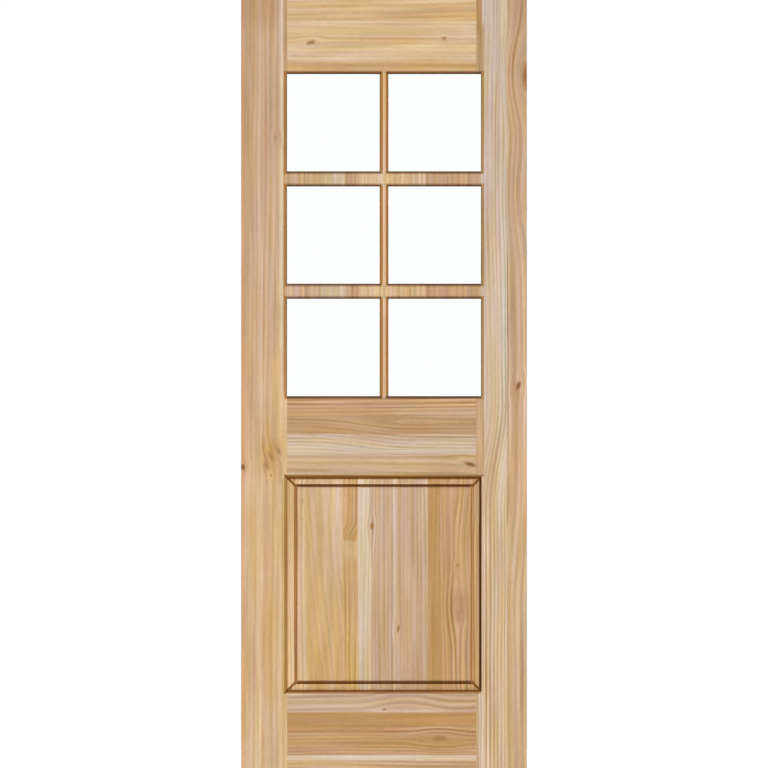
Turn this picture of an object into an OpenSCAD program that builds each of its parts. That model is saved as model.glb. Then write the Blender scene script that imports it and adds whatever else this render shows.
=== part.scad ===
// Wooden exterior door leaf: six glazed lites over one raised panel.
// A frame of two stiles and three rails is dowelled together. Two cross bars and three short
// mullions divide the glazing. Every opening has an ovolo moulding stuck into its edge on the
// front. The panes are bedded on tape behind that moulding and held from the back by mitred beads.
// The panel floats in a groove and is raised on both faces.
// Millimetres. X is across the door, Z is up, and the front faces -Y. The origin is the middle of
// the bottom edge.

/* [Slab] */
// Overall width of the door
door_w = 755; // [600:1:1070]
// Overall height of the door
door_h = 2032; // [1950:1:2440]
// Thickness of the stiles and rails
door_t = 44.5; // [42:0.5:57]
// Radius of the eased long edges of the stiles
arris_r = 1.5; // [0.5:0.5:4]

/* [Stiles and rails] */
// Width of each stile, up to the sight line of the openings
stile_w = 121.5; // [90:0.5:160]
// Height of the top rail
top_rail_h = 197; // [110:0.5:240]
// Height of the lock rail, between the glazing and the panel
lock_rail_h = 215; // [180:0.5:260]
// Height of the bottom rail
bottom_rail_h = 205.5; // [180:0.5:300]
// Height of the glazed part, from the top rail to the lock rail
glazing_h = 851; // [600:0.5:1000]

/* [Glazing bars] */
// Height of each cross bar
cross_bar_h = 40; // [36:0.5:60]
// Width of the mullions
mullion_w = 23.5; // [22:0.5:50]

/* [Stuck moulding] */
// Radius of the ovolo round each opening
ovolo_r = 6.5; // [3:0.25:7]
// Width of the flat ledge beside the ovolo
ledge_w = 1; // [0.5:0.25:2]
// Depth of the quirk from the face down to the ledge
quirk_d = 1.5; // [0.5:0.25:3]
// Depth from the face to the back of the moulded lip
lip_t = 14; // [11:0.25:16]

/* [Glass] */
// Thickness of the panes
glass_t = 5; // [3:0.5:8]
// Depth of the glazing rebate beyond the sight line
rebate_w = 9; // [8.5:0.25:9.75]
// Gap between the edge of a pane and its rebate
glass_gap = 2; // [1:0.25:3]
// Thickness of the bedding tape
tape_t = 1.5; // [0.5:0.25:3]
// Setback of the tape behind the sight line
tape_setback = 1; // [0.5:0.25:3]
// Gap between a bead and its rebate
bead_gap = 0.2; // [0.1:0.05:0.4]
// Length of each setting block under a pane
block_l = 20; // [10:1:40]

/* [Raised panel] */
// Thickness of the panel at its raised field
panel_t = 36.5; // [33:0.5:42]
// Depth of the panel groove beyond the sight line
groove_d = 11; // [8:0.5:14]
// Room left for the panel to swell at the bottom of the groove
panel_gap = 2.5; // [1:0.5:4]
// Play of the panel tongue against each wall of the groove
tongue_gap = 0.25; // [0.1:0.05:0.5]
// Width of the sloping margin, from the sight line to the flute
bevel_w = 18.5; // [10:0.5:40]
// Thickness of the panel at the top of the margin
bevel_t = 29; // [24:0.5:32]
// Width of the flute round the field
flute_w = 8; // [5:0.5:14]
// Thickness of the panel at the floor of the flute
flute_t = 23; // [18:0.5:23.5]
// Radius of the field's edge
field_r = 2; // [0.5:0.25:3]
// Width of the scribed line on the margin's mitres
mitre_line_w = 4; // [2:0.5:6]

/* [Dowels] */
// Diameter of the dowels between rails and stiles
rail_dowel_d = 16; // [10:0.1:18.5]
// Length of the dowels between rails and stiles
rail_dowel_l = 120; // [60:1:150]
// Distance between the dowels of one joint
rail_dowel_pitch = 60; // [30:1:69]
// Diameter of the dowels between cross bars and stiles
bar_dowel_d = 10; // [6:0.5:12]
// Length of the dowels between cross bars and stiles
bar_dowel_l = 60; // [30:1:100]
// Diameter of the dowels at the ends of the mullions
mullion_dowel_d = 6; // [4:0.5:8]
// Length of the dowels at the ends of the mullions
mullion_dowel_l = 30; // [16:1:32]
// Radial glue gap round a dowel
dowel_gap = 0.1; // [0.05:0.05:0.2]
// Room at each end of a dowel hole
dowel_end_gap = 1.5; // [0.5:0.5:2]

/* [Hidden] */
$fn = 64;
// How far a cutting shape runs past the face that it cuts
over = 1;

ROWS = ["top", "middle", "bottom"];
COLUMNS = ["left", "right"];
SIDES = ["upper", "lower", "left", "right"];
n_rows = len(ROWS);
n_columns = len(COLUMNS);

// The openings are measured at their sight lines
opening_w = door_w - 2 * stile_w;
lite_w = (opening_w - (n_columns - 1) * mullion_w) / n_columns;
lite_h = (glazing_h - (n_rows - 1) * cross_bar_h) / n_rows;
glazing_y = door_h - top_rail_h - glazing_h;
panel_h = glazing_y - lock_rail_h - bottom_rail_h;
lite_pitch_x = lite_w + mullion_w;
lite_pitch_y = lite_h + cross_bar_h;

// Depths are measured from the middle of the thickness, with the front positive
face_z = door_t / 2;
lip_z = face_z - lip_t;
glass_z = lip_z - tape_t;
bead_t = glass_z - glass_t + face_z;
mullion_dowel_z = (face_z + lip_z - quirk_d) / 2;

sticking_w = ovolo_r + ledge_w;
pane_reach = rebate_w - glass_gap;
tongue_reach = groove_d - panel_gap;
tongue_h = lip_z - tongue_gap;
bevel_h = bevel_t / 2;
flute_h = flute_t / 2;
field_inset = bevel_w + flute_w;

PALE_PINE = [0.86, 0.70, 0.52];
WARM_PINE = [0.80, 0.62, 0.40];
AMBER_PINE = [0.76, 0.56, 0.33];
BEECH = [0.82, 0.66, 0.48];
CLEAR_GLASS = [0.88, 0.95, 0.94, 0.35];
GREY_TAPE = [0.45, 0.45, 0.44];
DARK_RUBBER = [0.14, 0.14, 0.15];

function lite_x(c) = (c - (n_columns - 1) / 2) * lite_pitch_x;
function lite_y(r) = glazing_y + glazing_h - lite_h / 2 - r * lite_pitch_y;
function cross_bar_y(i) = lite_y(i) - lite_pitch_y / 2;
function lite_name(r, c) = str(ROWS[r], "_", COLUMNS[c]);
function bead_name(r, c, s) = str("bead_", lite_name(r, c), "_", SIDES[s]);

LITES = [for (r = [0 : n_rows - 1], c = [0 : n_columns - 1]) [r, c]];

// Bottom, height and number of dowels of each rail
TOP_RAIL = [door_h - top_rail_h, top_rail_h, 2];
LOCK_RAIL = [glazing_y - lock_rail_h, lock_rail_h, 3];
BOTTOM_RAIL = [0, bottom_rail_h, 3];

function dowel_heights(rail) =
    [for (i = [0 : rail[2] - 1]) rail[0] + rail[1] / 2 + (i - (rail[2] - 1) / 2) * rail_dowel_pitch];

// Every piece is drawn lying in elevation, with x across the door, y up it and z out of the front,
// and is then stood up
module stand() { rotate([90, 0, 0]) children(); }

// Carries a section drawn across the door along the height, or one drawn up the door along the width
module along_height(l) { rotate([90, 0, 0]) linear_extrude(l, center = true) children(); }
module along_width(l) { rotate([90, 0, 90]) linear_extrude(l, center = true) children(); }

// A block in elevation, centred on the origin, between two depths
module block(w, h, z0, z1) { translate([-w / 2, -h / 2, z0]) cube([w, h, z1 - z0]); }

// Waste taken off a square edge to leave an ovolo: the sight line is x = 0 and the face is y = 0
module ovolo_waste() {
    translate([-over, -over]) square([sticking_w + over, quirk_d + over]);
    difference() {
        translate([-over, -over]) square([ovolo_r + over, quirk_d + ovolo_r + over]);
        translate([ovolo_r, quirk_d + ovolo_r]) circle(ovolo_r);
    }
}

// Section of the space in a moulded opening of one span, from the face at y = 0 down past the lip
module moulded_gap(span) {
    translate([-span / 2, -lip_t - over]) square([span, lip_t + 2 * over]);
    for (side = [0, 1]) mirror([side, 0]) translate([span / 2, 0]) mirror([0, 1]) ovolo_waste();
}

// The same section carried both ways, so that the mouldings meet in mitres at the corners
module moulded_opening(w, h) {
    run = 2 * (sticking_w + over);
    translate([0, 0, face_z]) intersection() {
        along_height(h + run) moulded_gap(w);
        along_width(w + run) moulded_gap(h);
    }
}

// What the glazing takes out of its neighbours: the moulded hole in front and the rebate behind
module lite_cut(r, c) {
    translate([lite_x(c), lite_y(r), 0]) {
        moulded_opening(lite_w, lite_h);
        block(lite_w + 2 * rebate_w, lite_h + 2 * rebate_w, -face_z - over, lip_z);
    }
}

// What the panel takes out of its neighbours: the moulding on both faces and the groove between
module panel_cut() {
    translate([0, bottom_rail_h + panel_h / 2, 0]) {
        for (back = [0, 1]) mirror([0, 0, back]) moulded_opening(opening_w, panel_h);
        block(opening_w + 2 * groove_d, panel_h + 2 * groove_d, -lip_z, lip_z);
    }
}

// Dowels along x, centred on the joint between a rail or bar and each stile
module side_dowels(heights, d, l) {
    for (y = heights, side = [-1, 1])
        translate([side * opening_w / 2, y, 0]) rotate([0, 90, 0]) cylinder(d = d, h = l, center = true);
}

module rail_dowels(rail) { side_dowels(dowel_heights(rail), rail_dowel_d, rail_dowel_l); }
module rail_dowel_holes(rail) {
    side_dowels(dowel_heights(rail), rail_dowel_d + 2 * dowel_gap, rail_dowel_l + 2 * dowel_end_gap);
}

CROSS_BARS = [for (i = [0 : n_rows - 2]) cross_bar_y(i)];
module bar_dowels() { side_dowels(CROSS_BARS, bar_dowel_d, bar_dowel_l); }
module bar_dowel_holes() {
    side_dowels(CROSS_BARS, bar_dowel_d + 2 * dowel_gap, bar_dowel_l + 2 * dowel_end_gap);
}

// Dowels along the height, at both ends of every mullion
module end_dowels(d, l) {
    for (r = [0 : n_rows - 1], end = [-1, 1])
        translate([0, lite_y(r) + end * lite_h / 2, mullion_dowel_z]) rotate([90, 0, 0])
            cylinder(d = d, h = l, center = true);
}
module mullion_dowel_holes() {
    end_dowels(mullion_dowel_d + 2 * dowel_gap, mullion_dowel_l + 2 * dowel_end_gap);
}

// Section of the left stile, with its outer edge at x = 0 and both long arrises eased
module stile_section() {
    translate([arris_r, -face_z]) square([stile_w - arris_r, door_t]);
    translate([0, arris_r - face_z]) square([2 * arris_r, door_t - 2 * arris_r]);
    for (side = [-1, 1]) translate([arris_r, side * (face_z - arris_r)]) circle(arris_r);
}

module left_stile_solid() {
    difference() {
        translate([-door_w / 2, door_h / 2, 0]) along_height(door_h) stile_section();
        for (r = [0 : n_rows - 1]) lite_cut(r, 0);
        panel_cut();
        for (rail = [TOP_RAIL, LOCK_RAIL, BOTTOM_RAIL]) rail_dowel_holes(rail);
        bar_dowel_holes();
    }
}

module left_stile() { color(WARM_PINE) stand() left_stile_solid(); }
module right_stile() { color(WARM_PINE) stand() mirror([1, 0, 0]) left_stile_solid(); }

// A rail is a plain board between the stiles, drilled at both ends
module rail_board(rail) {
    difference() {
        translate([0, rail[0] + rail[1] / 2, 0]) block(opening_w, rail[1], -face_z, face_z);
        rail_dowel_holes(rail);
    }
}

module top_rail() {
    color(PALE_PINE) stand() difference() {
        rail_board(TOP_RAIL);
        for (c = [0 : n_columns - 1]) lite_cut(0, c);
        mullion_dowel_holes();
    }
}

module lock_rail() {
    color(PALE_PINE) stand() difference() {
        rail_board(LOCK_RAIL);
        for (c = [0 : n_columns - 1]) lite_cut(n_rows - 1, c);
        panel_cut();
        mullion_dowel_holes();
    }
}

module bottom_rail() {
    color(AMBER_PINE) stand() difference() {
        rail_board(BOTTOM_RAIL);
        panel_cut();
    }
}

// A cross bar runs from stile to stile, moulded on both edges
module cross_bar(i) {
    color(PALE_PINE) stand() difference() {
        translate([0, cross_bar_y(i), 0]) block(opening_w, cross_bar_h, -face_z, face_z);
        for (r = [i, i + 1], c = [0 : n_columns - 1]) lite_cut(r, c);
        bar_dowel_holes();
        mullion_dowel_holes();
    }
}

// A mullion stands between two cross bars, or between a cross bar and a rail
module mullion(r) {
    color(WARM_PINE) stand() difference() {
        translate([0, lite_y(r), 0]) block(mullion_w, lite_h, -face_z, face_z);
        for (c = [0 : n_columns - 1]) lite_cut(r, c);
        mullion_dowel_holes();
    }
}

// Section of the panel's tongue and sloping margin across one span
module margin_section(span) {
    half = span / 2;
    edge = [[half + tongue_reach, tongue_h], [half, tongue_h], [half - bevel_w, bevel_h]];
    polygon(concat(
        edge,
        [for (i = [2 : -1 : 0]) [-edge[i][0], edge[i][1]]],
        [for (p = edge) [-p[0], -p[1]]],
        [for (i = [2 : -1 : 0]) [edge[i][0], -edge[i][1]]]
    ));
}

// Section of the flute's space: its outer wall slopes at 45 degrees down to the floor
module flute_section(span) {
    top = span / 2 - bevel_w + over;
    fall = bevel_h + over - flute_h;
    polygon([
        [-top, bevel_h + over], [top, bevel_h + over],
        [top - fall, flute_h], [fall - top, flute_h]
    ]);
}

// Section of the raised field, with rounded edges
module field_section(span) {
    half = span / 2 - field_inset;
    top = panel_t / 2;
    translate([-half, field_r - top]) square([2 * half, 2 * (top - field_r)]);
    translate([field_r - half, -top]) square([2 * (half - field_r), 2 * top]);
    for (x = [-1, 1], y = [-1, 1])
        translate([x * (half - field_r), y * (top - field_r)]) circle(field_r);
}

// Line scribed along the mitre of the margin, at the corner with positive x and y
module mitre_line() {
    rise = bevel_h - tongue_h;
    run = bevel_w * sqrt(2);
    side = mitre_line_w / sqrt(2);
    translate([opening_w / 2, panel_h / 2, tongue_h]) rotate([0, 0, -135])
        rotate([0, -atan(rise / run), 0]) rotate([45, 0, 0])
            translate([run / 2, 0, 0]) cube([2 * run, side, side], center = true);
}

module raised_panel() {
    span_w = opening_w + 2 * groove_d;
    span_h = panel_h + 2 * groove_d;
    color(WARM_PINE) stand() translate([0, bottom_rail_h + panel_h / 2, 0]) {
        difference() {
            intersection() {
                along_height(span_h) margin_section(opening_w);
                along_width(span_w) margin_section(panel_h);
            }
            for (back = [0, 1]) mirror([0, 0, back]) {
                intersection() {
                    along_height(panel_h) flute_section(opening_w);
                    along_width(opening_w) flute_section(panel_h);
                }
                for (x = [0, 1], y = [0, 1]) mirror([x, 0, 0]) mirror([0, y, 0]) mitre_line();
            }
        }
        intersection() {
            along_height(panel_h) field_section(opening_w);
            along_width(opening_w) field_section(panel_h);
        }
    }
}

module top_rail_dowels() { color(BEECH) stand() rail_dowels(TOP_RAIL); }
module lock_rail_dowels() { color(BEECH) stand() rail_dowels(LOCK_RAIL); }
module bottom_rail_dowels() { color(BEECH) stand() rail_dowels(BOTTOM_RAIL); }
module cross_bar_dowels() { color(BEECH) stand() bar_dowels(); }
module mullion_dowels() { color(BEECH) stand() end_dowels(mullion_dowel_d, mullion_dowel_l); }

// Tape bedding between a pane and the lip
module tape(r, c) {
    color(GREY_TAPE) stand() translate([lite_x(c), lite_y(r), 0]) difference() {
        block(lite_w + 2 * pane_reach, lite_h + 2 * pane_reach, glass_z, lip_z);
        block(lite_w + 2 * tape_setback, lite_h + 2 * tape_setback, glass_z - over, lip_z + over);
    }
}

module glass(r, c) {
    color(CLEAR_GLASS) stand() translate([lite_x(c), lite_y(r), 0])
        block(lite_w + 2 * pane_reach, lite_h + 2 * pane_reach, glass_z - glass_t, glass_z);
}

// Two setting blocks under every pane, at the quarter points of its width
module setting_blocks() {
    seat = glass_gap / 2 - lite_h / 2 - rebate_w;
    color(DARK_RUBBER) stand() for (l = LITES, side = [-1, 1])
        translate([lite_x(l[1]) + side * lite_w / 4, lite_y(l[0]) + seat, 0])
            block(block_l, glass_gap, glass_z - glass_t, glass_z);
}

// Section of a bead: x from the sight line into the rebate, y from the back face into the door
module bead_section() {
    difference() {
        square([rebate_w - bead_gap, bead_t]);
        ovolo_waste();
    }
}

// A bead along the top of an opening of width w and height h, mitred at both ends
module mitred_bead(w, h) {
    reach = rebate_w - bead_gap;
    half = w / 2;
    translate([0, h / 2, -face_z]) intersection() {
        along_width(w + 2 * rebate_w) bead_section();
        linear_extrude(bead_t)
            polygon([[-half, 0], [half, 0], [half + reach, reach], [-half - reach, reach]]);
    }
}

module bead(r, c, s) {
    turn = [0, 180, 90, -90][s];
    upright = s > 1;
    color(PALE_PINE) stand() translate([lite_x(c), lite_y(r), 0]) rotate([0, 0, turn])
        mitred_bead(upright ? lite_h : lite_w, upright ? lite_w : lite_h);
}

left_stile();
right_stile();
top_rail();
lock_rail();
bottom_rail();
cross_bar(0);  // upper_cross_bar
cross_bar(1);  // lower_cross_bar
mullion(0);  // top_mullion
mullion(1);  // middle_mullion
mullion(2);  // bottom_mullion
raised_panel();
top_rail_dowels();
lock_rail_dowels();
bottom_rail_dowels();
cross_bar_dowels();
mullion_dowels();
setting_blocks();
for (l = LITES) {
    tape(l[0], l[1]);
    glass(l[0], l[1]);
    for (s = [0 : len(SIDES) - 1])
        bead(l[0], l[1], s);
}
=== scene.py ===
"""Looks for a wooden exterior door leaf: bare pine, clear panes and a pale studio."""

import math

import bpy
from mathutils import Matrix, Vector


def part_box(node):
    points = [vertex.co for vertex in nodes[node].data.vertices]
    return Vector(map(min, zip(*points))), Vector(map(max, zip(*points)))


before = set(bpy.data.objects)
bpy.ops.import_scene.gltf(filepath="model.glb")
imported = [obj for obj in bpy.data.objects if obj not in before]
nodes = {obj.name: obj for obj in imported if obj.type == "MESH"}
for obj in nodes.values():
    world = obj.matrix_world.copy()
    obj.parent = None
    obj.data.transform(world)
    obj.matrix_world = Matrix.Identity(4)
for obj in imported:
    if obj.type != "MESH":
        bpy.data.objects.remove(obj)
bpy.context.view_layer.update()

# Stiles
# Two upright boards of bare planed pine, each glued up from a few narrow staves.
# Their inner edge carries a moulding, darkened brown partly by a stain and partly by painted shade.

MM = 0.001
FACE_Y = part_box("left_stile")[1].y
DOOR_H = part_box("left_stile")[1].z


def srgb(red, green, blue):
    """Turns a colour as it is seen on screen, from 0 to 255, into the linear colour that a shader takes."""
    def linear(value):
        value = value / 255
        return value / 12.92 if value <= 0.04045 else ((value + 0.055) / 1.055) ** 2.4
    return (linear(red), linear(green), linear(blue), 1.0)


def cast(red, green, blue):
    """A tint, given as the three factors by which it changes the wood's colour."""
    return (red, green, blue, 1.0)


class Wire:
    """One value in a material's shader tree. Arithmetic on it adds Math nodes."""

    def __init__(self, tree, socket=None):
        self.tree = tree
        self.socket = socket

    def node(self, kind, settings=None, sockets=None, out=0):
        """Adds a node of one kind. Its settings are set first, then the values or links of its sockets."""
        made = self.tree.nodes.new(kind)
        for key, value in (settings or {}).items():
            if key == "stops":
                ramp = made.color_ramp
                ramp.elements.remove(ramp.elements[1])
                for index, (place, colour) in enumerate(value):
                    stop = ramp.elements[0] if index == 0 else ramp.elements.new(place)
                    stop.position = place
                    stop.color = colour
            elif key == "ramp_interpolation":
                made.color_ramp.interpolation = value
            else:
                setattr(made, key, value)
        for key, value in (sockets or {}).items():
            if isinstance(value, Wire):
                self.tree.links.new(value.socket, made.inputs[key])
            else:
                made.inputs[key].default_value = value
        return Wire(self.tree, made.outputs[out])

    def sister(self, out):
        """Another output of the node that this value comes from."""
        return Wire(self.tree, self.socket.node.outputs[out])

    def parts(self, kind="ShaderNodeSeparateXYZ"):
        """The three channels of a vector or a colour."""
        first = self.node(kind, {}, {0: self})
        return first, first.sister(1), first.sister(2)

    def maths(self, operation, first, second=0.0):
        """A Math node on two values."""
        return self.node("ShaderNodeMath", {"operation": operation}, {0: first, 1: second})

    def __add__(self, other):
        return self.maths("ADD", self, other)

    def __radd__(self, other):
        return self.maths("ADD", other, self)

    def __sub__(self, other):
        return self.maths("SUBTRACT", self, other)

    def __rsub__(self, other):
        return self.maths("SUBTRACT", other, self)

    def __mul__(self, other):
        return self.maths("MULTIPLY", self, other)

    def __rmul__(self, other):
        return self.maths("MULTIPLY", other, self)

    def __truediv__(self, other):
        return self.maths("DIVIDE", self, other)

    def __abs__(self):
        return self.maths("ABSOLUTE", self)

    def larger(self, other):
        """The larger of two values."""
        return self.maths("MAXIMUM", self, other)

    def rise(self, low, high):
        """0 below low, 1 above high and an S curve between them."""
        return self.node("ShaderNodeMapRange", {"interpolation_type": "SMOOTHSTEP"},
                         {"Value": self, "From Min": low, "From Max": high})

    def span(self, low, high, low_soft, high_soft=None):
        """1 from low to high, in millimetres, with an S curve of twice the softness at either end."""
        high_soft = low_soft if high_soft is None else high_soft
        start = self.rise((low - low_soft) * MM, (low + low_soft) * MM)
        return start * (1 - self.rise((high - high_soft) * MM, (high + high_soft) * MM))

    def noise(self, second, third, detail=1.0):
        """Soft noise from 0 to 1 at the point (self, second, third)."""
        point = self.node("ShaderNodeCombineXYZ", {}, {0: self, 1: second, 2: third})
        return self.node("ShaderNodeTexNoise", {}, {"Vector": point, "Scale": 1.0, "Detail": detail})

    def mix(self, share, first, second, how, clamp=True):
        """Two colours mixed. A Mix node takes them at its sockets 6 and 7 and gives a colour at output 2."""
        return self.node("ShaderNodeMix", {"data_type": "RGBA", "blend_type": how, "clamp_factor": clamp},
                         {0: share, 6: first, 7: second}, out=2)

    def blend(self, first, second, how="MIX", clamp=True):
        """Two colours blended, with this value as the share of the second."""
        return self.mix(self, first, second, how, clamp)

    def times(self, other):
        """This colour multiplied by another."""
        return self.mix(1.0, self, other, "MULTIPLY")


def new_material(name):
    """An empty node material: returns it, a wire to start from and its shader's node."""
    material = bpy.data.materials.new(name)
    material.use_nodes = True
    return material, Wire(material.node_tree), material.node_tree.nodes["Principled BSDF"]


def connect(wire, shader, socket):
    """Links a value to one of a shader's sockets."""
    wire.tree.links.new(wire.socket, shader.inputs[socket])


# The wood's pale and dark sides, the casts that come and go, and its cut ends
PALE_SIDE = cast(1.14, 1.17, 1.22)
OLIVE_SIDE = cast(0.83, 0.855, 0.73)
ROSE_SIDE = cast(0.91, 0.81, 0.80)
AMBER_CAST = cast(1.0, 0.98, 0.82)
PINK_CAST = cast(1.0, 1.02, 1.18)
END_GRAIN = srgb(229, 217, 201)

# A knot's colours, and how much it tapers, reaches, pushes the rings aside and frays
KNOT_HEART = srgb(123, 82, 46)
KNOT_RIM = srgb(167, 124, 75)
KNOT_TAPER = 0.6
KNOT_REACH = 5.0
KNOT_PUSH = 0.8
KNOT_RAGGED = 0.7

# How far the rings wander, and how much each feature darkens the wood
SLOW_WANDER = 20 * MM
QUICK_WANDER = 2 * MM
MEAN_LATE = 0.47
MIDDLE_SHADE = 0.48
RING_SHADE = 1.6
BROAD_SHADE = 1.6
NARROW_SHADE = 1.4
FLECK_SHADE = 0.5
FIBRE_SHADE = 0.6
RESIN_SHADE = 0.4
SLIP_SHADE = 4.4
SLIP_SEAM_SHADE = 0.8
SLIP_SEAM = 1.4 * MM


def pine(name, along, staves, knots=(), bends=(), slips=(), tints=(), calm=(),
         streaks=1.0, soft=0.0, stain_and_shade=None):
    """Solid pine whose growth rings are cylinders about a pith line along the grain, in millimetres.

    along: the grain's axis, x or z.
    staves: (start across, tone, ring contrast, ring gap, pith across, pith depth, lean), then the far edge.
    knots: (across, along, radius, stretch, darkness, lean). The rings flow round each one.
    bends: (along, length, shift, low across, high across, edge softness). The rings step sideways there.
    slips: (low x, high x, low z, high z, tone). Each is a strip of upright grain.
    tints: (colour, across span, along span). Each colours a patch of the board.
    calm: (gain, across span, along span). Each changes the contrast of the rings in a patch.
    streaks: the strength of the streaks.
    soft: how far the lines between staves wander.
    stain and shade: a function from the three coordinates to a mask and a colour, for the mouldings' stain
    and painted shade.

    A span is its low end, its high end and their softness, once or for each end. None is the whole board.
    """
    material, start, shader = new_material(name)
    x, y, z = start.node("ShaderNodeTexCoord", out="Object").parts()
    across, length = (x, z) if along == "z" else (z, x)
    inward = y + FACE_Y

    # Each stave takes its tone and its cut from the log from two stepped ramps. They hold gaps in tenths of
    # a metre, depths in metres, and places and leans with 0.5 added, because a ramp has no negative colour
    first, last = staves[0][0], staves[-1][0]
    wander = (length * 6).noise(across * 30, y * 30, 2.0) - 0.5
    share = (across + wander * (soft * MM) - first * MM) / ((last - first) * MM)
    places = [(stave[0] - first) / (last - first) for stave in staves[:-1]]
    tones = [(*stave[1][:3], stave[2]) for stave in staves[:-1]]
    cuts = [(gap * 0.01, pith * MM + 0.5, depth * MM, lean + 0.5)
            for _, _, _, gap, pith, depth, lean in staves[:-1]]
    stepped = {"ramp_interpolation": "CONSTANT"}
    tone = start.node("ShaderNodeValToRGB", {**stepped, "stops": list(zip(places, tones))}, {0: share})
    cut = start.node("ShaderNodeValToRGB", {**stepped, "stops": list(zip(places, cuts))}, {0: share})
    contrast = tone.sister("Alpha")
    lean = cut.sister("Alpha") - 0.5
    gap, pith, depth = cut.parts("ShaderNodeSeparateColor")
    gap = gap * (100 * MM)
    pith = pith - 0.5
    seed = pith * 90

    # Knots push the rings aside and taper from the front face to the back, and bends shift the rings
    taper = 1 - inward * (KNOT_TAPER / (2 * FACE_Y))
    ragged = ((across * 260).noise(length * 130, y * 260) - 0.5) * KNOT_RAGGED
    flow = across
    heart = None
    for knot_across, knot_along, radius, stretch, darkness, tilt in knots:
        up = length - knot_along * MM
        du = across - knot_across * MM - up * tilt
        dw = up / stretch
        distance = start.maths("SQRT", du * du + dw * dw) / (taper * (radius * MM))
        flow = flow - du * (1 - distance.rise(0.0, KNOT_REACH)) * KNOT_PUSH
        if darkness:
            body = (1 - (distance + ragged).rise(0.3, 1.5)) * darkness
            heart = body if heart is None else heart.larger(body)
    bent = flow
    for bend_along, bend_length, shift, low, high, edge in bends:
        step = length.rise(bend_along * MM, (bend_along + bend_length) * MM)
        bent = bent + step * across.span(low, high, edge) * (shift * MM)

    def patch(across_span, along_span):
        """1 inside a patch of the board, given by its spans across and along the grain."""
        spans = [axis.span(*span) for axis, span in ((flow, across_span), (length, along_span)) if span]
        return spans[0] * spans[1] if len(spans) == 2 else spans[0]

    # The ring number grows with the distance from the pith, and wanders along the board
    slow = (bent * 7 + seed).noise(length * 1.6, y * 7) - 0.5
    quick = (bent * 45 + seed).noise(length * 5, y * 45) - 0.5
    sideways = bent - pith - lean * (length - DOOR_H / 2) + slow * SLOW_WANDER + quick * QUICK_WANDER
    sunk = inward - depth
    from_pith = start.maths("SQRT", sideways * sideways + sunk * sunk)
    uneven = (from_pith * 55).noise(seed, 0.0, 2.0) - 0.5
    ring = from_pith / gap + uneven * 1.4 + length * 0.6
    turn = start.maths("FRACT", ring)
    late = turn.rise(0.1, 0.75) * (1 - turn.rise(0.8, 1.0))
    lot = start.node("ShaderNodeCombineXYZ", {}, {0: start.maths("FLOOR", ring), 1: seed})
    lot = start.node("ShaderNodeTexWhiteNoise", {"noise_dimensions": "2D"}, {"Vector": lot}, out="Color")
    strength, ring_hue, _ = lot.parts("ShaderNodeSeparateColor")

    # Light and dark follow the rings, streaks that start and stop along the board, and short resin canals
    for gain, across_span, along_span in calm:
        contrast = contrast * (1 + patch(across_span, along_span) * (gain - 1))
    fading = (bent * 40 + seed).noise(length * 4, y * 40).rise(0.3, 0.7)
    rings = (late - MEAN_LATE) * (0.35 + strength * 0.65) * (0.45 + fading * 0.9) * contrast
    broad = (bent * 24 + seed).noise(length * 2.4, y * 24) - 0.5
    narrow = (bent * 85 + seed).noise(length * 4.5, y * 85, 2.0) - 0.5
    fleck = (bent * 230).noise(length * 60, y * 230) - 0.5
    fibre = (bent * 500).noise(length * 36, y * 500, 4.0) - 0.5
    resin = (bent * 1100).noise(length * 90, y * 1100).rise(0.64, 0.76)
    shade = (rings * RING_SHADE + (broad * BROAD_SHADE + narrow * NARROW_SHADE) * streaks
             + fleck * FLECK_SHADE + fibre * FIBRE_SHADE + resin * RESIN_SHADE + MIDDLE_SHADE)

    # Dark wood is olive in some rings and rosy in others, and amber comes and goes
    hue = (bent * 110 + seed).noise(length * 7, y * 110) * 1.6 - 0.55 + ring_hue * 0.5
    dark_side = hue.blend(OLIVE_SIDE, ROSE_SIDE)
    wood = tone.times(shade.blend(PALE_SIDE, dark_side, clamp=False))
    warm = (bent * 60 - seed).noise(length * 4, y * 60).rise(0.25, 0.75)
    wood = wood.times(warm.blend(PINK_CAST, AMBER_CAST))
    for colour, across_span, along_span in tints:
        wood = patch(across_span, along_span).blend(wood, colour, "MULTIPLY")
    for low_x, high_x, low_z, high_z, slip_tone in slips:
        inside = x.span(low_x, high_x, 0.5) * z.span(low_z, high_z, 12)
        grain = ((x * 230 + z * 3).noise(z * 5, y * 230, 2.0) - 0.5) * SLIP_SHADE + 0.5
        seam = 1 - (x - low_x * MM).rise(0.0, SLIP_SEAM)
        slip = (grain + seam * SLIP_SEAM_SHADE).blend(PALE_SIDE, dark_side, clamp=False)
        wood = inside.blend(wood, slip.times(slip_tone))
    if heart is not None:
        wood = heart.rise(0.0, 0.6).blend(wood, KNOT_RIM)
        wood = heart.rise(0.5, 1.0).blend(wood, KNOT_HEART)

    # Cut ends drink more light than the faces
    facing = start.node("ShaderNodeTexCoord", out="Normal").parts()[2 if along == "z" else 0]
    wood = abs(facing).rise(0.7, 0.95).blend(wood, END_GRAIN, "MULTIPLY")
    # The mouldings take their stain and painted shade
    if stain_and_shade is not None:
        mask, colour = stain_and_shade(x, y, z)
        wood = mask.blend(wood, colour, "MULTIPLY")

    connect(wood, shader, "Base Color")
    connect(0.62 - late * 0.10 + fibre * 0.2, shader, "Roughness")
    bump = start.node("ShaderNodeBump", {}, {
        "Strength": 0.18, "Distance": 0.4 * MM, "Height": late * 0.35 + fibre * 0.65})
    connect(bump, shader, "Normal")
    shader.inputs["Specular IOR Level"].default_value = 0.25
    return material


def dress(names, material):
    """Gives one material to each of the named nodes."""
    for name in names:
        data = nodes[name].data
        data.materials.clear()
        data.materials.append(material)


# Colours of the upright mouldings: partly a stain and partly painted shade. The core colour is a painted
# shadow, and the corner colour is painted shade along a mitre.
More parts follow.
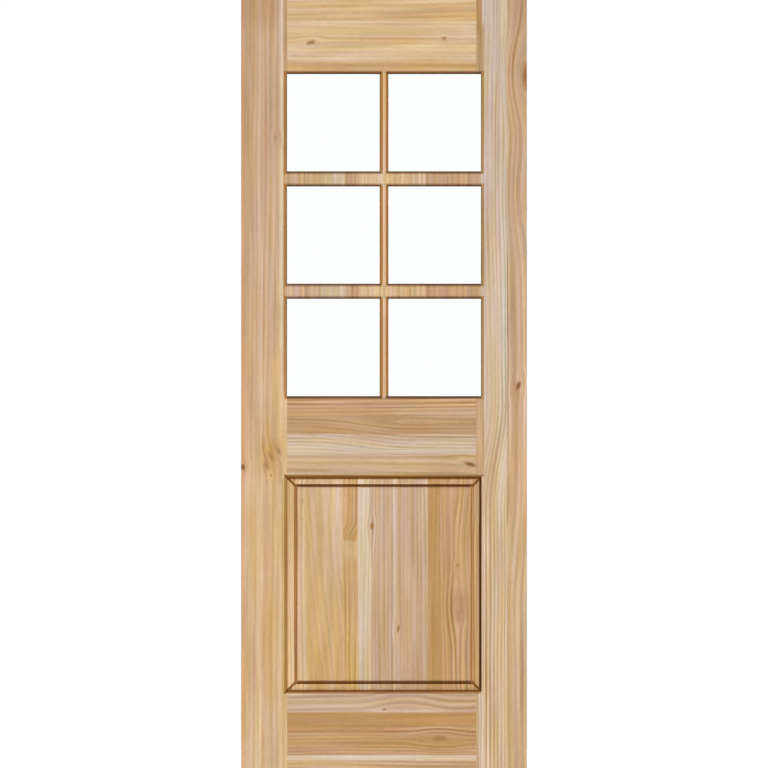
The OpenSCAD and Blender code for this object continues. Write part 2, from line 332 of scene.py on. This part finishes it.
UPRIGHT_STAIN_AND_SHADE = srgb(206, 184, 128)
CORNER_MITRE_SHADE = srgb(152, 114, 62)
CORE_SHADOW = srgb(138, 106, 60)
STAIN_AND_SHADE_NEAR = 9 * MM
STAIN_AND_SHADE_FAR = 12 * MM
STILE_SIGHT_X = -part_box("left_stile")[1].x
PANEL_SIGHT_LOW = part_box("bottom_rail")[1].z
PANEL_SIGHT_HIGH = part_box("lock_rail")[0].z
PANEL_SIGHT_MIDDLE = (PANEL_SIGHT_LOW + PANEL_SIGHT_HIGH) / 2


def stile_stain_and_shade(x, y, z):
    """The moulded edge: what lies below either face, close to the sight line.

    It takes a stain and painted shade. Beside the panel the right stile carries a painted shadow only deep
    in the moulding, and painted shade along the mitre crosses the left corners.
    """
    below = FACE_Y - abs(y)
    aside = abs(x) - STILE_SIGHT_X
    over = abs(z - PANEL_SIGHT_MIDDLE) - (PANEL_SIGHT_HIGH - PANEL_SIGHT_MIDDLE)
    close = 1 - aside.rise(STAIN_AND_SHADE_NEAR, STAIN_AND_SHADE_FAR)
    right = x.rise(0.0, 1 * MM)
    # Beside the panel the right moulding carries a painted shadow deep in its hollow.
    core_shadow = right * (1 - z.rise(PANEL_SIGHT_HIGH + 3 * MM, PANEL_SIGHT_HIGH + 4 * MM))
    mask = below.rise(0.1 * MM, 1.6 * MM) * (1 - core_shadow) + below.rise(2.6 * MM, 3.8 * MM) * core_shadow
    # Painted shade along the mitre crosses the left corners.
    crease_shade = (1 - abs(aside - over).rise(2.5 * MM, 4.5 * MM)) * below.rise(0.2 * MM, 1.0 * MM)
    crease_shade = crease_shade * (1 - aside.rise(8 * MM, 9 * MM)) * (1 - right)
    colour = core_shadow.blend(UPRIGHT_STAIN_AND_SHADE, CORE_SHADOW)
    return mask.larger(crease_shade) * close, crease_shade.blend(colour, CORNER_MITRE_SHADE)


# Tones of the staves
PALE = srgb(217, 193, 166)
PINK = srgb(205, 180, 155)
ROSE = srgb(200, 167, 135)
STRAW = srgb(213, 178, 134)
CLAY = srgb(196, 158, 119)
OCHRE = srgb(187, 151, 110)
UMBER = srgb(182, 143, 92)

# Tints that the boards share
WHITER = cast(1.16, 1.30, 1.50)
LIGHTER = cast(1.12, 1.20, 1.32)
BRIGHTER = cast(1.05, 1.10, 1.18)
REDDER = cast(1.0, 0.92, 0.88)
YELLOWER = cast(0.99, 0.94, 0.80)
DEEPER = cast(0.95, 0.92, 0.85)
GOLDEN = cast(0.95, 0.88, 0.74)
DARKER = cast(0.88, 0.83, 0.78)

# Tints of the left stile alone
LEFT_HEAD = srgb(238, 234, 242)
LEFT_SEAM_PALE = cast(1.09, 1.14, 1.22)
STRIP_WARM = cast(1.10, 1.14, 1.10)
STRIP_PALE = cast(1.08, 1.16, 1.20)
STRIP_WHITE = cast(1.14, 1.36, 1.80)
STRIP_COOL = cast(1.0, 1.06, 1.30)
# The two edge tints widen the moulding's darkening, partly stain and partly painted shade.
EDGE_BROWN_STAIN_AND_SHADE = cast(0.90, 0.83, 0.75)
EDGE_GOLD_STAIN_AND_SHADE = cast(0.92, 0.87, 0.73)
SWIRL_GOLD = cast(0.96, 0.90, 0.78)

left_stile_pine = pine(
    "left stile pine", "z",
    [(-377.5, STRAW, 0.55, 10.6, -250, 40, 0.0),
     (-330, STRAW, 0.55, 18, -150, 40, 0.0),
     (-256,)],
    knots=[(-284, 1667, 5, 1.6, 0.0, 0.0),
           (-287, 1666, 1.8, 3.6, 0.42, 0.0),
           (-280, 1673, 1.4, 3.0, 0.3, 0.0),
           (-374, 796, 7.5, 1.2, 0.9, 0.0),
           (-299, 826, 5, 3.0, 0.42, -0.4),
           (-278, 839, 4.5, 2.6, 0.45, -0.45),
           (-298, 774, 3.5, 1.4, 0.45, 0.0),
           (-310, 800, 4.5, 2.4, 0.38, -0.5)],
    bends=[(795, 90, 15, -322, -262, 10)],
    tints=[(LEFT_HEAD, None, (1050, 2200, 350)),
           (REDDER, (-390, -363, 3), None),
           (LEFT_SEAM_PALE, (-334, -322.5, 3.5), None),
           (WHITER, (-277, -266.5, 2), (1235, 2200, 20)),
           (LIGHTER, (-272.5, -267, 1), (1850, 2200, 60)),
           (STRIP_WARM, (-285, -273, 2), (1235, 1720, 60)),
           (STRIP_PALE, (-274, -267.5, 1), (1235, 1840, 20)),
           (STRIP_WHITE, (-276, -267, 1.5), (1110, 1235, 20)),
           (STRIP_COOL, (-275, -268, 1.5), (1000, 1110, 20)),
           # Along the lites the moulding's darkening is widened, partly stain and partly painted shade.
           (EDGE_BROWN_STAIN_AND_SHADE, (-266.5, -262, 1), (985, 1838, 2)),
           (DARKER, (-264.5, -250, 1), (1838, 2200, 3)),
           (DARKER, (-400, -281, 4), (1960, 2200, 40)),
           (BRIGHTER, (-356, -281, 10), (1280, 1560, 80)),
           (DEEPER, (-400, -336, 6), (980, 1220, 90)),
           (DEEPER, (-400, -290, 10), (790, 960, 40)),
           (DEEPER, (-390, -340, 8), (600, 720, 50)),
           (YELLOWER, (-326, -278, 6), (300, 460, 70)),
           (BRIGHTER, None, (-100, 170, 60)),
           (LIGHTER, (-281, -272, 2), (540, 740, 50)),
           # Beside the panel the moulding's darkening is widened, partly stain and partly painted shade.
           (EDGE_GOLD_STAIN_AND_SHADE, (-271, -262, 1.5), (200, 765, 4)),
           (GOLDEN, (-324, -296, 6), (796, 872, 22)),
           (GOLDEN, (-298, -280, 5), (828, 872, 18)),
           (SWIRL_GOLD, (-314, -268, 8), (766, 850, 20))],
    calm=[(0.7, None, (-100, 760, 60)),
          (0.75, None, (900, 2200, 60))],
    stain_and_shade=stile_stain_and_shade)
dress(["left_stile"], left_stile_pine)

# Tints of the right stile alone
RIGHT_FOOT = srgb(260, 254, 236)
OUTER_PALE = cast(1.02, 1.10, 1.14)
RIGHT_SEAM_COOL = cast(0.99, 1.03, 1.08)
INNER_COOL = cast(1.0, 1.06, 1.08)
KNOT_SHADE = cast(0.88, 0.88, 0.84)
RIGHT_SEAM_SHADE = cast(0.90, 0.92, 0.90)
RIGHT_SEAM_GREY = cast(0.90, 0.93, 0.95)
INNER_ROSE = cast(0.93, 0.90, 0.90)
HEAD_SHADE = cast(0.92, 0.92, 0.94)

right_stile_pine = pine(
    "right stile pine", "z",
    [(256, PINK, 0.9, 9.4, 60, 20, 0.0),
     (325, ROSE, 1.15, 18, 180, 30, 0.0),
     (377.5,)],
    knots=[(380, 1829, 17, 2.2, 0.74, 0.0),
           (392, 1828, 17, 3.0, 0.0, 0.0),
           (392, 1512, 18, 2.8, 0.0, 0.0),
           (377, 1481, 2.5, 2.0, 0.5, 0.0),
           (355, 1012, 6, 2.2, 0.85, 0.2)],
    bends=[(690, 290, -34, 200, 325, 0.5),
           (430, 330, -22, 325, 420, 0.5)],
    slips=[(250, 263, 1835, 1965, OCHRE),
           (250, 258.5, 1940, 2060, UMBER),
           (250, 264, 775, 980, CLAY),
           (250, 266, -30, 200, PALE)],
    tints=[(RIGHT_FOOT, None, (-100, 900, 250)),
           # Painted highlight on the lit face of the moulding beside the panel.
           (LIGHTER, (250, 266, 1.5), (200, 772, 3)),
           (OUTER_PALE, (326, 400, 4), (-100, 620, 90)),
           (DEEPER, (326, 400, 4), (1480, 2100, 90)),
           (RIGHT_SEAM_COOL, (318, 332, 5), (1000, 2100, 60)),
           (INNER_COOL, (309, 323, 4), (1000, 1620, 80)),
           (KNOT_SHADE, (337, 353, 5), (1010, 1240, 40)),
           (RIGHT_SEAM_SHADE, (321, 346, 5), (560, 770, 40)),
           (RIGHT_SEAM_GREY, (321, 328, 2), (200, 560, 40)),
           (INNER_ROSE, (262, 280, 4), (200, 560, 40)),
           (BRIGHTER, (338, 350, 3), (-100, 560, 60)),
           (DARKER, (340, 400, 8), (1960, 2100, 40)),
           (GOLDEN, (348, 356, 3), (760, 1010, 40)),
           (BRIGHTER, (300, 322, 4), (640, 1300, 90)),
           (HEAD_SHADE, (266, 306, 6), (1850, 2100, 50)),
           (DEEPER, (266, 282, 4), (180, 320, 60))],
    calm=[(1.2, (250, 330, 10), (-100, 700, 100)),
          (0.65, (330, 400, 6), (-100, 900, 100)),
          (0.6, (256, 325, 6), (690, 1010, 60)),
          (0.72, (250, 325, 6), (1070, 2200, 60)),
          (0.7, (330, 400, 6), (1050, 2200, 60))],
    stain_and_shade=stile_stain_and_shade)
dress(["right_stile"], right_stile_pine)

# Rails
# Three level boards between the stiles, glued up from wide staves with level grain.
# Their moulded edges are darkened partly by a stain and partly by painted shade, with more painted shade
# than on the uprights.

# Colours of the level mouldings, each partly a stain and partly painted shade; the edges beside the lites
# carry the most painted shade.
LEVEL_STAIN_AND_SHADE = srgb(121, 81, 18)
PANEL_EDGE_STAIN_AND_SHADE = srgb(178, 138, 68)


def rail_stain_and_shade(low=None, high=None):
    """The moulded edges of one rail, each given as its height and its colour of stain and painted shade; an
    edge left out is plain.
    """
    def stain_and_shade(x, y, z):
        edges = []
        if high is not None:
            edges.append((high[0] - z, high[1]))
        if low is not None:
            edges.append((z - low[0], low[1]))
        mask = None
        for distance, edge_colour in edges:
            near = 1 - distance.rise(STAIN_AND_SHADE_NEAR, STAIN_AND_SHADE_FAR)
            colour = edge_colour if mask is None else near.blend(colour, edge_colour)
            mask = near if mask is None else mask + near
        return mask * (FACE_Y - abs(y)).rise(0.1 * MM, 2.5 * MM), colour
    return stain_and_shade


HONEY = srgb(204, 165, 115)
CREAM = srgb(215, 183, 142)
TOP_PALE = cast(1.04, 1.05, 1.10)

top_rail_pine = pine(
    "top rail pine", "x",
    [(1834, HONEY, 0.5, 14, 1700, 40, 0.0),
     (1867, CREAM, 0.4, 12, 1700, 40, 0.0),
     (1975, STRAW, 0.5, 15, 2200, 40, 0.0),
     (2032,)],
    knots=[(1918, -193, 5.5, 2.3, 0.6, 0.2),
           (1929, 159, 4, 1.3, 0.6, 0.0)],
    slips=[(244, 260, 1800, 1965, OCHRE),
           (244, 260, 1940, 2060, UMBER)],
    tints=[(YELLOWER, (1979, 1995, 4), (0, 300, 60)),
           (REDDER, (1920, 1938, 5), (-20, 85, 30)),
           (LIGHTER, (1907, 1914, 2.5), (20, 140, 25)),
           (DEEPER, (1912, 1931, 4), None),
           (TOP_PALE, (1868, 1908, 4), None),
           (BRIGHTER, (2002, 2040, 4), None)],
    stain_and_shade=rail_stain_and_shade(low=(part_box("top_rail")[0].z, LEVEL_STAIN_AND_SHADE)))
dress(["top_rail"], top_rail_pine)

TAN = srgb(204, 171, 131)
PINKER = cast(1.03, 1.02, 1.10)
LOCK_PALE = cast(1.04, 1.07, 1.05)
LOCK_AMBER = cast(0.97, 0.94, 0.87)
LOCK_GREY = cast(0.95, 0.94, 0.91)
LOCK_GOLD = cast(0.98, 0.93, 0.87)

lock_rail_pine = pine(
    "lock rail pine", "x",
    [(769, TAN, 0.9, 18, 600, 40, 0.0),
     (829, PINK, 1.0, 9.4, 1100, 40, 0.0),
     (883, OCHRE, 0.8, 11, 700, 40, 0.0),
     (929, CLAY, 1.2, 11, 1200, 40, 0.0),
     (984,)],
    knots=[(804, 227, 6, 2.6, 0.85, -0.25)],
    bends=[(-180, 260, 22, 838, 922, 10)],
    slips=[(244, 260, 740, 1010, CLAY)],
    tints=[(PINKER, (877, 884, 2), (-300, -120, 60)),
           (DEEPER, (960, 990, 4), None),
           (BRIGHTER, (920, 957, 5), (20, 300, 50)),
           (DEEPER, (868, 883, 3), None),
           (LOCK_PALE, (831, 850, 3), None),
           (DARKER, (760, 802, 6), (110, 300, 50)),
           (LOCK_AMBER, (885, 929, 4), (60, 300, 50)),
           (LOCK_GREY, (778, 826, 4), (0, 200, 40)),
           (LOCK_GOLD, (860, 880, 3), (-90, 80, 40))],
    soft=14,
    stain_and_shade=rail_stain_and_shade(low=(PANEL_SIGHT_HIGH, PANEL_EDGE_STAIN_AND_SHADE),
                     high=(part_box("lock_rail")[1].z, LEVEL_STAIN_AND_SHADE)))
dress(["lock_rail"], lock_rail_pine)

RUST = srgb(194, 153, 109)
AMBER = srgb(191, 149, 96)
FOOT_PALE = cast(1.02, 1.06, 1.10)

bottom_rail_pine = pine(
    "bottom rail pine", "x",
    [(0, TAN, 1.2, 9.4, -180, 40, 0.0),
     (21, PALE, 0.2, 8, -150, 40, 0.0),
     (35, RUST, 0.9, 10.6, -200, 40, 0.0),
     (115, AMBER, 0.15, 30, 300, 60, 0.0),
     (148, ROSE, 0.8, 17, 420, 40, 0.0),
     (205.5,)],
    knots=[(79, 148, 9, 2.4, 0.5, 0.0),
           (156, 1, 3, 2.0, 0.5, 0.3),
           (74, 98, 3, 3.0, 0.3, 0.0)],
    bends=[(-70, 120, -16, 152, 215, 10),
           (60, 130, 16, 152, 215, 10)],
    slips=[(250, 260, -30, 230, PALE),
           (244, 250, -30, 230, TAN)],
    tints=[(LIGHTER, (146, 156, 3), (-40, 150, 30)),
           (BRIGHTER, (150, 200, 4), (-300, -10, 30)),
           (GOLDEN, (94, 115, 4), (-300, 70, 40)),
           (BRIGHTER, (36, 57, 3), (-300, 120, 30)),
           (FOOT_PALE, (21, 35, 1), None),
           (YELLOWER, (115, 148, 1), (20, 300, 60)),
           (DEEPER, (150, 182, 6), (20, 300, 40))],
    stain_and_shade=rail_stain_and_shade(high=(PANEL_SIGHT_LOW, PANEL_EDGE_STAIN_AND_SHADE)))
dress(["bottom_rail"], bottom_rail_pine)

# Cross bars
# Two glazing bars cut across the board, so that short upright streaks show on their flat.
# Both edges are moulded and darkened, partly by a stain and partly by painted shade.

WHEAT = srgb(208, 173, 128)
BAR_PINK = srgb(212, 180, 153)
BAR_SAND = srgb(200, 167, 127)
BAR_GREY = srgb(200, 173, 138)
BAR_PALE = srgb(208, 182, 151)
BAR_BROWN = srgb(190, 153, 115)


def bar_stain_and_shade(x, y, z):
    """Stain and painted shade on everything below either face."""
    return (FACE_Y - abs(y)).rise(0.1 * MM, 3.0 * MM), LEVEL_STAIN_AND_SHADE


cross_bar_pine = pine(
    "cross bar pine", "z",
    [(-256, BAR_PINK, 0.4, 13, -480, 40, 0.0),
     (-225, STRAW, 0.8, 11, -470, 40, 0.0),
     (-206, BAR_SAND, 0.3, 14, -460, 40, 0.0),
     (-167, BAR_GREY, 0.25, 16, -450, 40, 0.0),
     (-130, BAR_PALE, 0.25, 16, -450, 40, 0.0),
     (-103, CLAY, 0.8, 12, -440, 40, 0.0),
     (-66, CREAM, 0.5, 10.6, -430, 40, 0.0),
     (0, STRAW, 0.6, 11, 480, 40, 0.0),
     (42, WHEAT, 0.4, 14, 470, 40, 0.0),
     (72, CREAM, 0.4, 14, 470, 40, 0.0),
     (111, CLAY, 0.5, 16, 460, 40, 0.0),
     (161, CLAY, 0.6, 13, 450, 40, 0.0),
     (217, BAR_BROWN, 0.4, 15, 440, 40, 0.0),
     (256,)],
    streaks=1.2, soft=14,
    stain_and_shade=bar_stain_and_shade)
dress(["upper_cross_bar", "lower_cross_bar"], cross_bar_pine)

# Mullions
# Three short upright bars between the rails and the cross bars, with a narrow flat between two mouldings.
# The mouldings are darkened like those of the stiles, partly by a stain and partly by painted shade.

PEACH = srgb(228, 184, 140)
LOW_MULLION = cast(0.92, 0.92, 0.84)
# The right moulding carries deeper painted shade than the left.
MULLION_LEFT_STAIN_AND_SHADE = srgb(196, 174, 122)
MULLION_RIGHT_STAIN_AND_SHADE = srgb(182, 158, 110)


def mullion_stain_and_shade(x, y, z):
    """Both moulded sides, stained and painted with shade: wider on the left, and with deeper painted shade
    on the right.
    """
    left = 1 - x.rise(-3.6 * MM, -2.6 * MM)
    right = x.rise(4.4 * MM, 5.4 * MM)
    return left.larger(right), right.blend(MULLION_LEFT_STAIN_AND_SHADE, MULLION_RIGHT_STAIN_AND_SHADE)


mullion_pine = pine(
    "mullion pine", "z",
    [(-12, PEACH, 0.4, 7, -90, 30, 0.0),
     (12,)],
    tints=[(LOW_MULLION, None, (900, 1200, 20))],
    stain_and_shade=mullion_stain_and_shade)
dress(["top_mullion", "middle_mullion", "bottom_mullion"], mullion_pine)

# Raised panel
# One panel of glued upright staves, raised on both faces and loose in its groove.
# The flute round the field and the mitres carry painted shade, the foot of the margin a painted shadow, and
# the bevels painted light.

PANEL_LOW, PANEL_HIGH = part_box("raised_panel")
PANEL_MIDDLE_Z = (PANEL_LOW.z + PANEL_HIGH.z) / 2
# Sizes of the panel's edge, as seen from the front
TONGUE = 8.5 * MM
MARGIN = 26.5 * MM
FLUTE = 8 * MM
LEVEL_SHIFT = 1.5 * MM
RIGHT_SHIFT = 4 * MM
FIELD_HALF_W = PANEL_HIGH.x - TONGUE - MARGIN
FIELD_HALF_H = (PANEL_HIGH.z - PANEL_LOW.z) / 2 - TONGUE - MARGIN

# Painted light on the bevels, painted shade in the flute and along the mitres, and a painted shadow on the
# foot
BEVEL_PAINTED_LIGHT = cast(1.13, 1.16, 1.17)
RIM_PAINTED_LIGHT = cast(1.30, 1.38, 1.40)
FLUTE_SHADE = srgb(206, 178, 128)
LEVEL_FLUTE_SHADE = srgb(135, 95, 29)
RIGHT_FLUTE_SHADE = srgb(240, 220, 156)
FOOT_SHADOW = srgb(186, 148, 84)
MITRE_SHADE = srgb(186, 148, 88)


def panel_shade_and_light(x, y, z):
    """Painted shade in the flute and along the mitres, a painted shadow on the foot of the margin, and
    painted light on the bevels.

    The painted shadow on the foot is widest at the top and at the right, narrower at the bottom and absent
    at the left.
    """
    beside = abs(x) - FIELD_HALF_W
    above = abs(z - PANEL_MIDDLE_Z) - FIELD_HALF_H
    out = beside.larger(above)
    level = (above - beside).rise(-1 * MM, 1 * MM)
    edge = out - level * LEVEL_SHIFT
    margin = edge.rise(-0.5 * MM, 0.5 * MM)
    right = x.rise(0.0, 1 * MM) * (1 - level)
    left = 1 - x.rise(-1 * MM, 0.0).larger(level)
    flute = 1 - (edge + right * RIGHT_SHIFT).rise(FLUTE - 1 * MM, FLUTE)
    # Painted shade along the mitres, and a painted shadow on the outer foot of the margin at the top, the
    # bottom and the right
    mitre = (1 - abs(beside - above).rise(3.5 * MM, 6 * MM)) * out.rise(1 * MM, 4 * MM)
    top_foot = (z - PANEL_MIDDLE_Z - FIELD_HALF_H).rise(MARGIN - 6 * MM, MARGIN - 4 * MM) * level
    low_foot = (PANEL_MIDDLE_Z - z - FIELD_HALF_H).rise(MARGIN - 3.5 * MM, MARGIN - 2 * MM) * level
    right_foot = out.rise(MARGIN - 5.5 * MM, MARGIN - 4 * MM) * right
    # Painted light brightens the bevels, most at the left rim.
    bevel_light = (left * out.rise(14 * MM, 18 * MM)).blend(BEVEL_PAINTED_LIGHT, RIM_PAINTED_LIGHT)
    upright = right.blend(FLUTE_SHADE, RIGHT_FLUTE_SHADE)
    colour = flute.blend(bevel_light, level.blend(upright, LEVEL_FLUTE_SHADE))
    colour = top_foot.larger(low_foot).blend(colour, FOOT_SHADOW)
    colour = right_foot.blend(colour, CORE_SHADOW)
    return margin, mitre.blend(colour, MITRE_SHADE)


MILK = srgb(213, 188, 160)
RUDDY = cast(0.84, 0.79, 0.74)
STAVE_GOLD = cast(1.0, 0.97, 0.88)
STAVE_EDGE = cast(1.01, 1.07, 1.14)
STAVE_PINK = cast(1.02, 1.04, 1.12)
STAVE_BRIGHT = cast(1.11, 1.08, 0.97)
LINE_SHADE = cast(0.87, 0.86, 0.85)

panel_pine = pine(
    "panel pine", "z",
    [(-265, STRAW, 0.6, 10.6, -420, 40, 0.0),
     (-206, WHEAT, 0.28, 16, -420, 50, -0.10),
     (-108, HONEY, 0.95, 10.6, -420, 40, 0.0),
     (-70, MILK, 0.4, 12, 300, 50, 0.0),
     (-34, ROSE, 0.7, 11, -420, 60, 0.0),
     (24, ROSE, 0.5, 12, -380, 60, 0.0),
     (114, AMBER, 0.2, 14, 400, 60, 0.0),
     (148, RUST, 0.95, 13, -300, 30, 0.0),
     (265,)],
    knots=[(-32, 640, 5, 2.2, 0.65, 0.0),
           (38, 371, 4.5, 2.6, 0.6, 0.1),
           (194, 537, 4, 1.5, 0.45, 0.0),
           (195, 428, 10, 2.8, 0.0, 0.0),
           (201, 395, 3.5, 2.0, 0.3, 0.0),
           (-232, 437, 2.5, 1.3, 0.5, 0.0),
           (-217, 708, 1.8, 2.5, 0.35, 0.0),
           (-215, 660, 1.8, 2.5, 0.35, 0.0)],
    bends=[(590, 170, -14, 185, 260, 10),
           (610, 44, -17, -108, -70, 0.5)],
    tints=[(STAVE_GOLD, (-206, -108, 3), (180, 500, 110)),
           (WHITER, (24, 31.5, 0.8, 3), None),
           (LINE_SHADE, (17, 23.8, 1.5, 0.8), (180, 640, 40)),
           (STAVE_EDGE, (-216, -206, 3), None),
           (GOLDEN, (-206, -160, 14), (180, 340, 60)),
           (BRIGHTER, (-160, -108, 14, 1), (360, 800, 90)),
           (STAVE_PINK, (-206, -108, 1), (500, 800, 60)),
           (STAVE_BRIGHT, (-108, -70, 1), (100, 400, 60)),
           (LIGHTER, (-108, -71, 1), (552, 600, 25, 1.5)),
           (REDDER, (-108, -71, 1), (640, 760, 30)),
           (GOLDEN, (-108, -70, 1), (604, 650, 1, 30)),
           (BRIGHTER, (-71, -52, 4), (470, 800, 60)),
           (DEEPER, (-71, -34, 2), (100, 340, 60)),
           (DARKER, (-38, -31, 2), (560, 750, 40)),
           (DEEPER, (-8, 21, 5, 1), (180, 460, 60)),
           (DEEPER, (40, 114, 8, 1), (180, 470, 60)),
           (BRIGHTER, (84, 114, 8, 1), (600, 800, 60)),
           (DEEPER, (114, 148, 1), None),
           (GOLDEN, (148, 170, 1, 8), (180, 350, 50)),
           (RUDDY, (184, 212, 6), (395, 468, 25))],
    calm=[(0.15, (-108, -70, 1), (545, 600, 25, 2)),
          (0.4, (196, 232, 8), (360, 500, 40)),
          (1.3, (-108, -70, 1), (604, 760, 1)),
          (0.65, (-108, -70, 1), (100, 540, 30)),
          (0.2, (-96, -70, 10, 1), (604, 622, 1, 12))],
    stain_and_shade=panel_shade_and_light)
dress(["raised_panel"], panel_pine)

# Dowels
# Turned beech pins, glued into holes across the joints.
# They are hidden once the boards are closed up.

level_dowel_beech = pine("dowel beech", "x", [(0, STRAW, 0.6, 4, 300, 20, 0.0), (2032,)])
upright_dowel_beech = pine("mullion dowel beech", "z", [(-4, STRAW, 0.6, 4, 300, 20, 0.0), (4,)])
dress(["top_rail_dowels", "lock_rail_dowels", "bottom_rail_dowels", "cross_bar_dowels"], level_dowel_beech)
dress(["mullion_dowels"], upright_dowel_beech)

# Panes
# Six panes of clear float glass, bedded on foam tape and standing on rubber setting blocks.
# A thin film of dust, thicker in patches, dulls their reflections a little.

GLASS_IOR = 1.5
FILM_ROUGHNESS = 0.06


def like(opening, endings=""):
    """The nodes whose names have an opening and, where endings are given, one of them."""
    return [name for name in nodes if name.startswith(opening) and name.endswith(endings)]


def speckled(name, scale, dark, pale, roughness):
    """A dull material whose colour wavers between two tones in fine specks."""
    material, start, shader = new_material(name)
    place = start.node("ShaderNodeTexCoord", out="Object")
    specks = start.node("ShaderNodeTexNoise", {}, {"Vector": place, "Scale": scale, "Detail": 2.0})
    connect(specks.blend(dark, pale), shader, "Base Color")
    shader.inputs["Roughness"].default_value = roughness
    return material


glass, start, shader = new_material("float glass")
shader.inputs["Base Color"].default_value = srgb(253, 255, 254)
shader.inputs["Transmission Weight"].default_value = 1.0
shader.inputs["IOR"].default_value = GLASS_IOR
place = start.node("ShaderNodeTexCoord", out="Object")
film = start.node("ShaderNodeTexNoise", {}, {"Vector": place, "Scale": 9.0, "Detail": 4.0})
connect(film.rise(0.4, 0.8) * FILM_ROUGHNESS, shader, "Roughness")
dress(like("glass_"), glass)

foam_tape = speckled("foam tape", 900.0, srgb(120, 118, 112), srgb(168, 165, 158), 0.9)
block_rubber = speckled("block rubber", 400.0, srgb(30, 30, 32), srgb(52, 52, 54), 0.7)
dress(like("tape_"), foam_tape)
dress(["setting_blocks"], block_rubber)

# Beads
# Four pine beads, mitred at the corners, hold each pane from the back.
# They are cut from the same wood as the boards and left bare.

level_bead_pine = pine("level bead pine", "x", [(0, STRAW, 0.6, 7, 300, 30, 0.0), (2032,)])
upright_bead_pine = pine("upright bead pine", "z", [(-400, STRAW, 0.6, 7, -470, 30, 0.0), (400,)])
dress(like("bead_", ("_upper", "_lower")), level_bead_pine)
dress(like("bead_", ("_left", "_right")), upright_bead_pine)

# Studio
# A pale floor under the bottom edge and a white surround.
# Two large soft lamps stand in front and two behind.

FLOOR_HALF = 3.0
FLOOR_TONE = 0.9
FLOOR_GLOW = 0.38
AMBIENT = 0.42
LAMP_DISTANCE = 7.0


def grey(value):
    """A colour with three equal channels."""
    return (value, value, value, 1.0)


def unlit_rays(start):
    """1 for a ray that the camera, a reflection or a pane sends out, and 0 for light on the object."""
    camera_ray = start.node("ShaderNodeLightPath", out="Is Camera Ray")
    glossy_ray = camera_ray.sister("Is Glossy Ray")
    return camera_ray.larger(glossy_ray).larger(camera_ray.sister("Is Transmission Ray"))


floor_data = bpy.data.meshes.new("floor")
floor_data.from_pydata([(-FLOOR_HALF, -FLOOR_HALF, 0), (FLOOR_HALF, -FLOOR_HALF, 0),
                        (FLOOR_HALF, FLOOR_HALF, 0), (-FLOOR_HALF, FLOOR_HALF, 0)], [], [(0, 1, 2, 3)])
floor = bpy.data.objects.new("floor", floor_data)
bpy.context.scene.collection.objects.link(floor)
floor_paint, start, shader = new_material("floor paint")
shader.inputs["Base Color"].default_value = grey(FLOOR_TONE)
shader.inputs["Roughness"].default_value = 0.8
connect(unlit_rays(start).blend(grey(0.0), grey(FLOOR_GLOW)), shader, "Emission Color")
shader.inputs["Emission Strength"].default_value = 1.0
floor_data.materials.append(floor_paint)

world = bpy.data.worlds.new("surround")
bpy.context.scene.world = world
world.use_nodes = True
sky = unlit_rays(Wire(world.node_tree)).blend(grey(AMBIENT), grey(1.0))
connect(sky, world.node_tree.nodes["Background"], "Color")

for name, turn, lift, side, watts in (
        ("key lamp", 24, 12, 1.6, 145),
        ("fill lamp", -26, 9, 2.6, 118),
        ("back key lamp", 156, 9, 1.6, 130),
        ("back fill lamp", 206, 7, 2.6, 100)):
    lamp_data = bpy.data.lights.new(name, "AREA")
    lamp_data.shape = "SQUARE"
    lamp_data.size = side
    lamp_data.energy = watts
    lamp = bpy.data.objects.new(name, lamp_data)
    turn, lift = math.radians(turn), math.radians(lift)
    reach = LAMP_DISTANCE * math.cos(lift)
    lamp.location = (reach * math.sin(turn), -reach * math.cos(turn),
                     DOOR_H / 2 + LAMP_DISTANCE * math.sin(lift))
    lamp.rotation_euler = (math.radians(90) - lift, 0, turn)
    bpy.context.scene.collection.objects.link(lamp)

# Camera
# It stands straight in front, far off behind a long lens.
# The door fills the picture's height, less a sliver that is cropped at either end.

CAMERA_DISTANCE = 60.0
SENSOR = 36.0
CROP = 1.5 * MM

camera_data = bpy.data.cameras.new("camera")
camera_data.sensor_width = SENSOR
camera_data.lens = SENSOR * CAMERA_DISTANCE / (DOOR_H - 2 * CROP)
camera_data.clip_end = 2 * CAMERA_DISTANCE
camera = bpy.data.objects.new("camera", camera_data)
camera.location = (0.0, -FACE_Y - CAMERA_DISTANCE, DOOR_H / 2)
camera.rotation_euler = (math.radians(90), 0, 0)
bpy.context.scene.collection.objects.link(camera)
bpy.context.scene.camera = camera
bpy.context.scene.view_settings.view_transform = "Standard"
